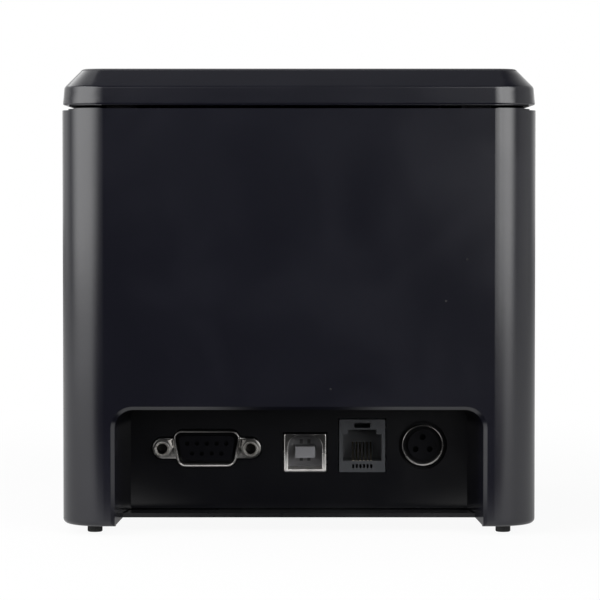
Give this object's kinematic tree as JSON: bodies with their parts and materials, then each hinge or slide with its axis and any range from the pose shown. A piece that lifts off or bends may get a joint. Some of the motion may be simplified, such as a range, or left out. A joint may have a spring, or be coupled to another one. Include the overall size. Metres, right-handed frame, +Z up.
{
  "type": "receipt printer",
  "caption": "Desktop thermal receipt printer with a hinged chamfered lid, paper bin, print head, cutter and a rear cable recess with power, data, serial and drawer sockets.",
  "frame": {"origin": "on the table, under the middle of the case", "axes": "+Z up, -Y towards the front with the paper exit and controls, +Y towards the rear cable recess"},
  "size_m": [0.132, 0.164, 0.1298],
  "materials": {
    "case_plastic": "black, fine moulded texture, satin",
    "tray_plastic": "black, matt",
    "inner_plastic": "black, matt",
    "foot_rubber": "black rubber",
    "screw_steel": "zinc plated",
    "board_laminate": "green solder mask",
    "board_component": "black moulded cases",
    "socket_nickel": "nickel plated, satin",
    "socket_black": "black",
    "tongue_plastic": "grey",
    "jack_plastic": "dark grey",
    "contact_gold": "gold plated",
    "plain_steel": "ground steel",
    "sheet_steel": "galvanised sheet",
    "blade_steel": "ground cutting steel",
    "head_ceramic": "glazed ceramic",
    "sink_aluminium": "mill finish",
    "platen_rubber_grey": "ground rubber",
    "gear_white": "natural acetal",
    "pinion_brass": "machined",
    "shaft_steel": "machined",
    "motor_can": "plated can",
    "control_plastic": "dark grey",
    "lens_clear": "clear light pipes",
    "switch_black": "black"
  },
  "bodies": {
    "case": {"main_housing": "case_plastic", "front_cover": "case_plastic", "base_tray": "tray_plastic", "paper_bin": "inner_plastic", "rubber_feet": "foot_rubber", "case_screws": "screw_steel", "mech_screws": "screw_steel", "board_screws": "screw_steel", "button_screws": "screw_steel", "main_board": "board_laminate", "button_board": "board_laminate", "board_parts": "board_component", "button_parts": "board_component", "paper_sensor": "board_component", "serial_shell": "socket_nickel", "usb_shell": "socket_nickel", "power_ring": "socket_nickel", "serial_jackscrews": "socket_nickel", "serial_insert": "socket_black", "power_insert": "socket_black", "usb_insert": "tongue_plastic", "drawer_jack": "jack_plastic", "drawer_contacts": "contact_gold", "hinge_pins": "plain_steel", "head_shaft": "plain_steel", "gear_stub": "plain_steel", "mech_frame": "sheet_steel", "cutter_frame": "sheet_steel", "cutter_lid": "sheet_steel", "head_spring": "sheet_steel", "thermal_head": "head_ceramic", "head_heatsink": "sink_aluminium", "feed_motor": "motor_can", "cutter_motor": "motor_can", "status_lenses": "lens_clear", "switch_frame": "switch_black"},
    "lid": {"paper_cover": "case_plastic", "cover_liner": "inner_plastic", "fixed_blade": "blade_steel", "tear_bar": "blade_steel", "platen_bushes": "gear_white"},
    "platen": {"platen_rubber": "platen_rubber_grey", "platen_shaft": "plain_steel", "platen_gear": "gear_white"},
    "reduction_wheel": {"reduction_gear": "gear_white"},
    "feed_pinion": {"motor_pinion": "pinion_brass", "motor_shaft": "plain_steel"},
    "blade": {"cutter_blade": "blade_steel"},
    "cutter_drive": {"cutter_shaft": "shaft_steel"},
    "cutter_drive_pinion": {"cutter_pinion": "pinion_brass", "cutter_motor_shaft": "plain_steel"},
    "button": {"feed_button": "control_plastic"},
    "lever": {"release_lever": "control_plastic"},
    "rocker": {"power_rocker": "switch_black"}
  },
  "joints": [
    {"name": "cover_hinge", "type": "hinge", "parent": "case", "child": "lid", "pos_m": [0, 0.074, 0.1229], "axis": [-1, 0, 0], "range_deg": [0, 90]},
    {"name": "platen_spin", "type": "hinge", "parent": "lid", "child": "platen", "pos_m": [0, -0.028, 0.1062], "axis": [1, 0, 0], "continuous": true},
    {"name": "reduction_spin", "type": "hinge", "parent": "case", "child": "reduction_wheel", "pos_m": [0.054, -0.02528, 0.08957], "axis": [1, 0, 0], "continuous": true},
    {"name": "motor_pinion_spin", "type": "hinge", "parent": "case", "child": "feed_pinion", "pos_m": [0.05, -0.04367, 0.07669], "axis": [1, 0, 0], "continuous": true},
    {"name": "blade_slide", "type": "slide", "parent": "case", "child": "blade", "axis": [0, 0.9063, 0.4226], "range_m": [0, 0.0056]},
    {"name": "cutter_shaft_spin", "type": "hinge", "parent": "case", "child": "cutter_drive", "pos_m": [0, -0.05702, 0.09745], "axis": [-1, 0, 0], "range_deg": [0, 52]},
    {"name": "cutter_pinion_spin", "type": "hinge", "parent": "case", "child": "cutter_drive_pinion", "pos_m": [-0.025, -0.05975, 0.08726], "axis": [-1, 0, 0], "range_deg": [-104, 0]},
    {"name": "feed_button_press", "type": "slide", "parent": "case", "child": "button", "axis": [0, 0, -1], "range_m": [0, 0.0012], "stiffness_N_per_m": 800},
    {"name": "release_lever_turn", "type": "hinge", "parent": "case", "child": "lever", "pos_m": [0.0567, -0.06, 0.1097], "axis": [1, 0, 0], "range_deg": [0, 10], "stiffness_Nm_per_rad": 0.3},
    {"name": "power_rocker_tilt", "type": "hinge", "parent": "case", "child": "rocker", "pos_m": [-0.0605, -0.044, 0.03], "axis": [0, 0, 1], "range_deg": [0, 16]}
  ],
  "couplings": [
    {"joint": "reduction_spin", "follows": "platen_spin", "ratio": -1.3333},
    {"joint": "motor_pinion_spin", "follows": "platen_spin", "ratio": 3.3333},
    {"joint": "cutter_shaft_spin", "follows": "blade_slide", "rad_per_m": 156.25},
    {"joint": "cutter_pinion_spin", "follows": "blade_slide", "rad_per_m": -312.5}
  ]
}
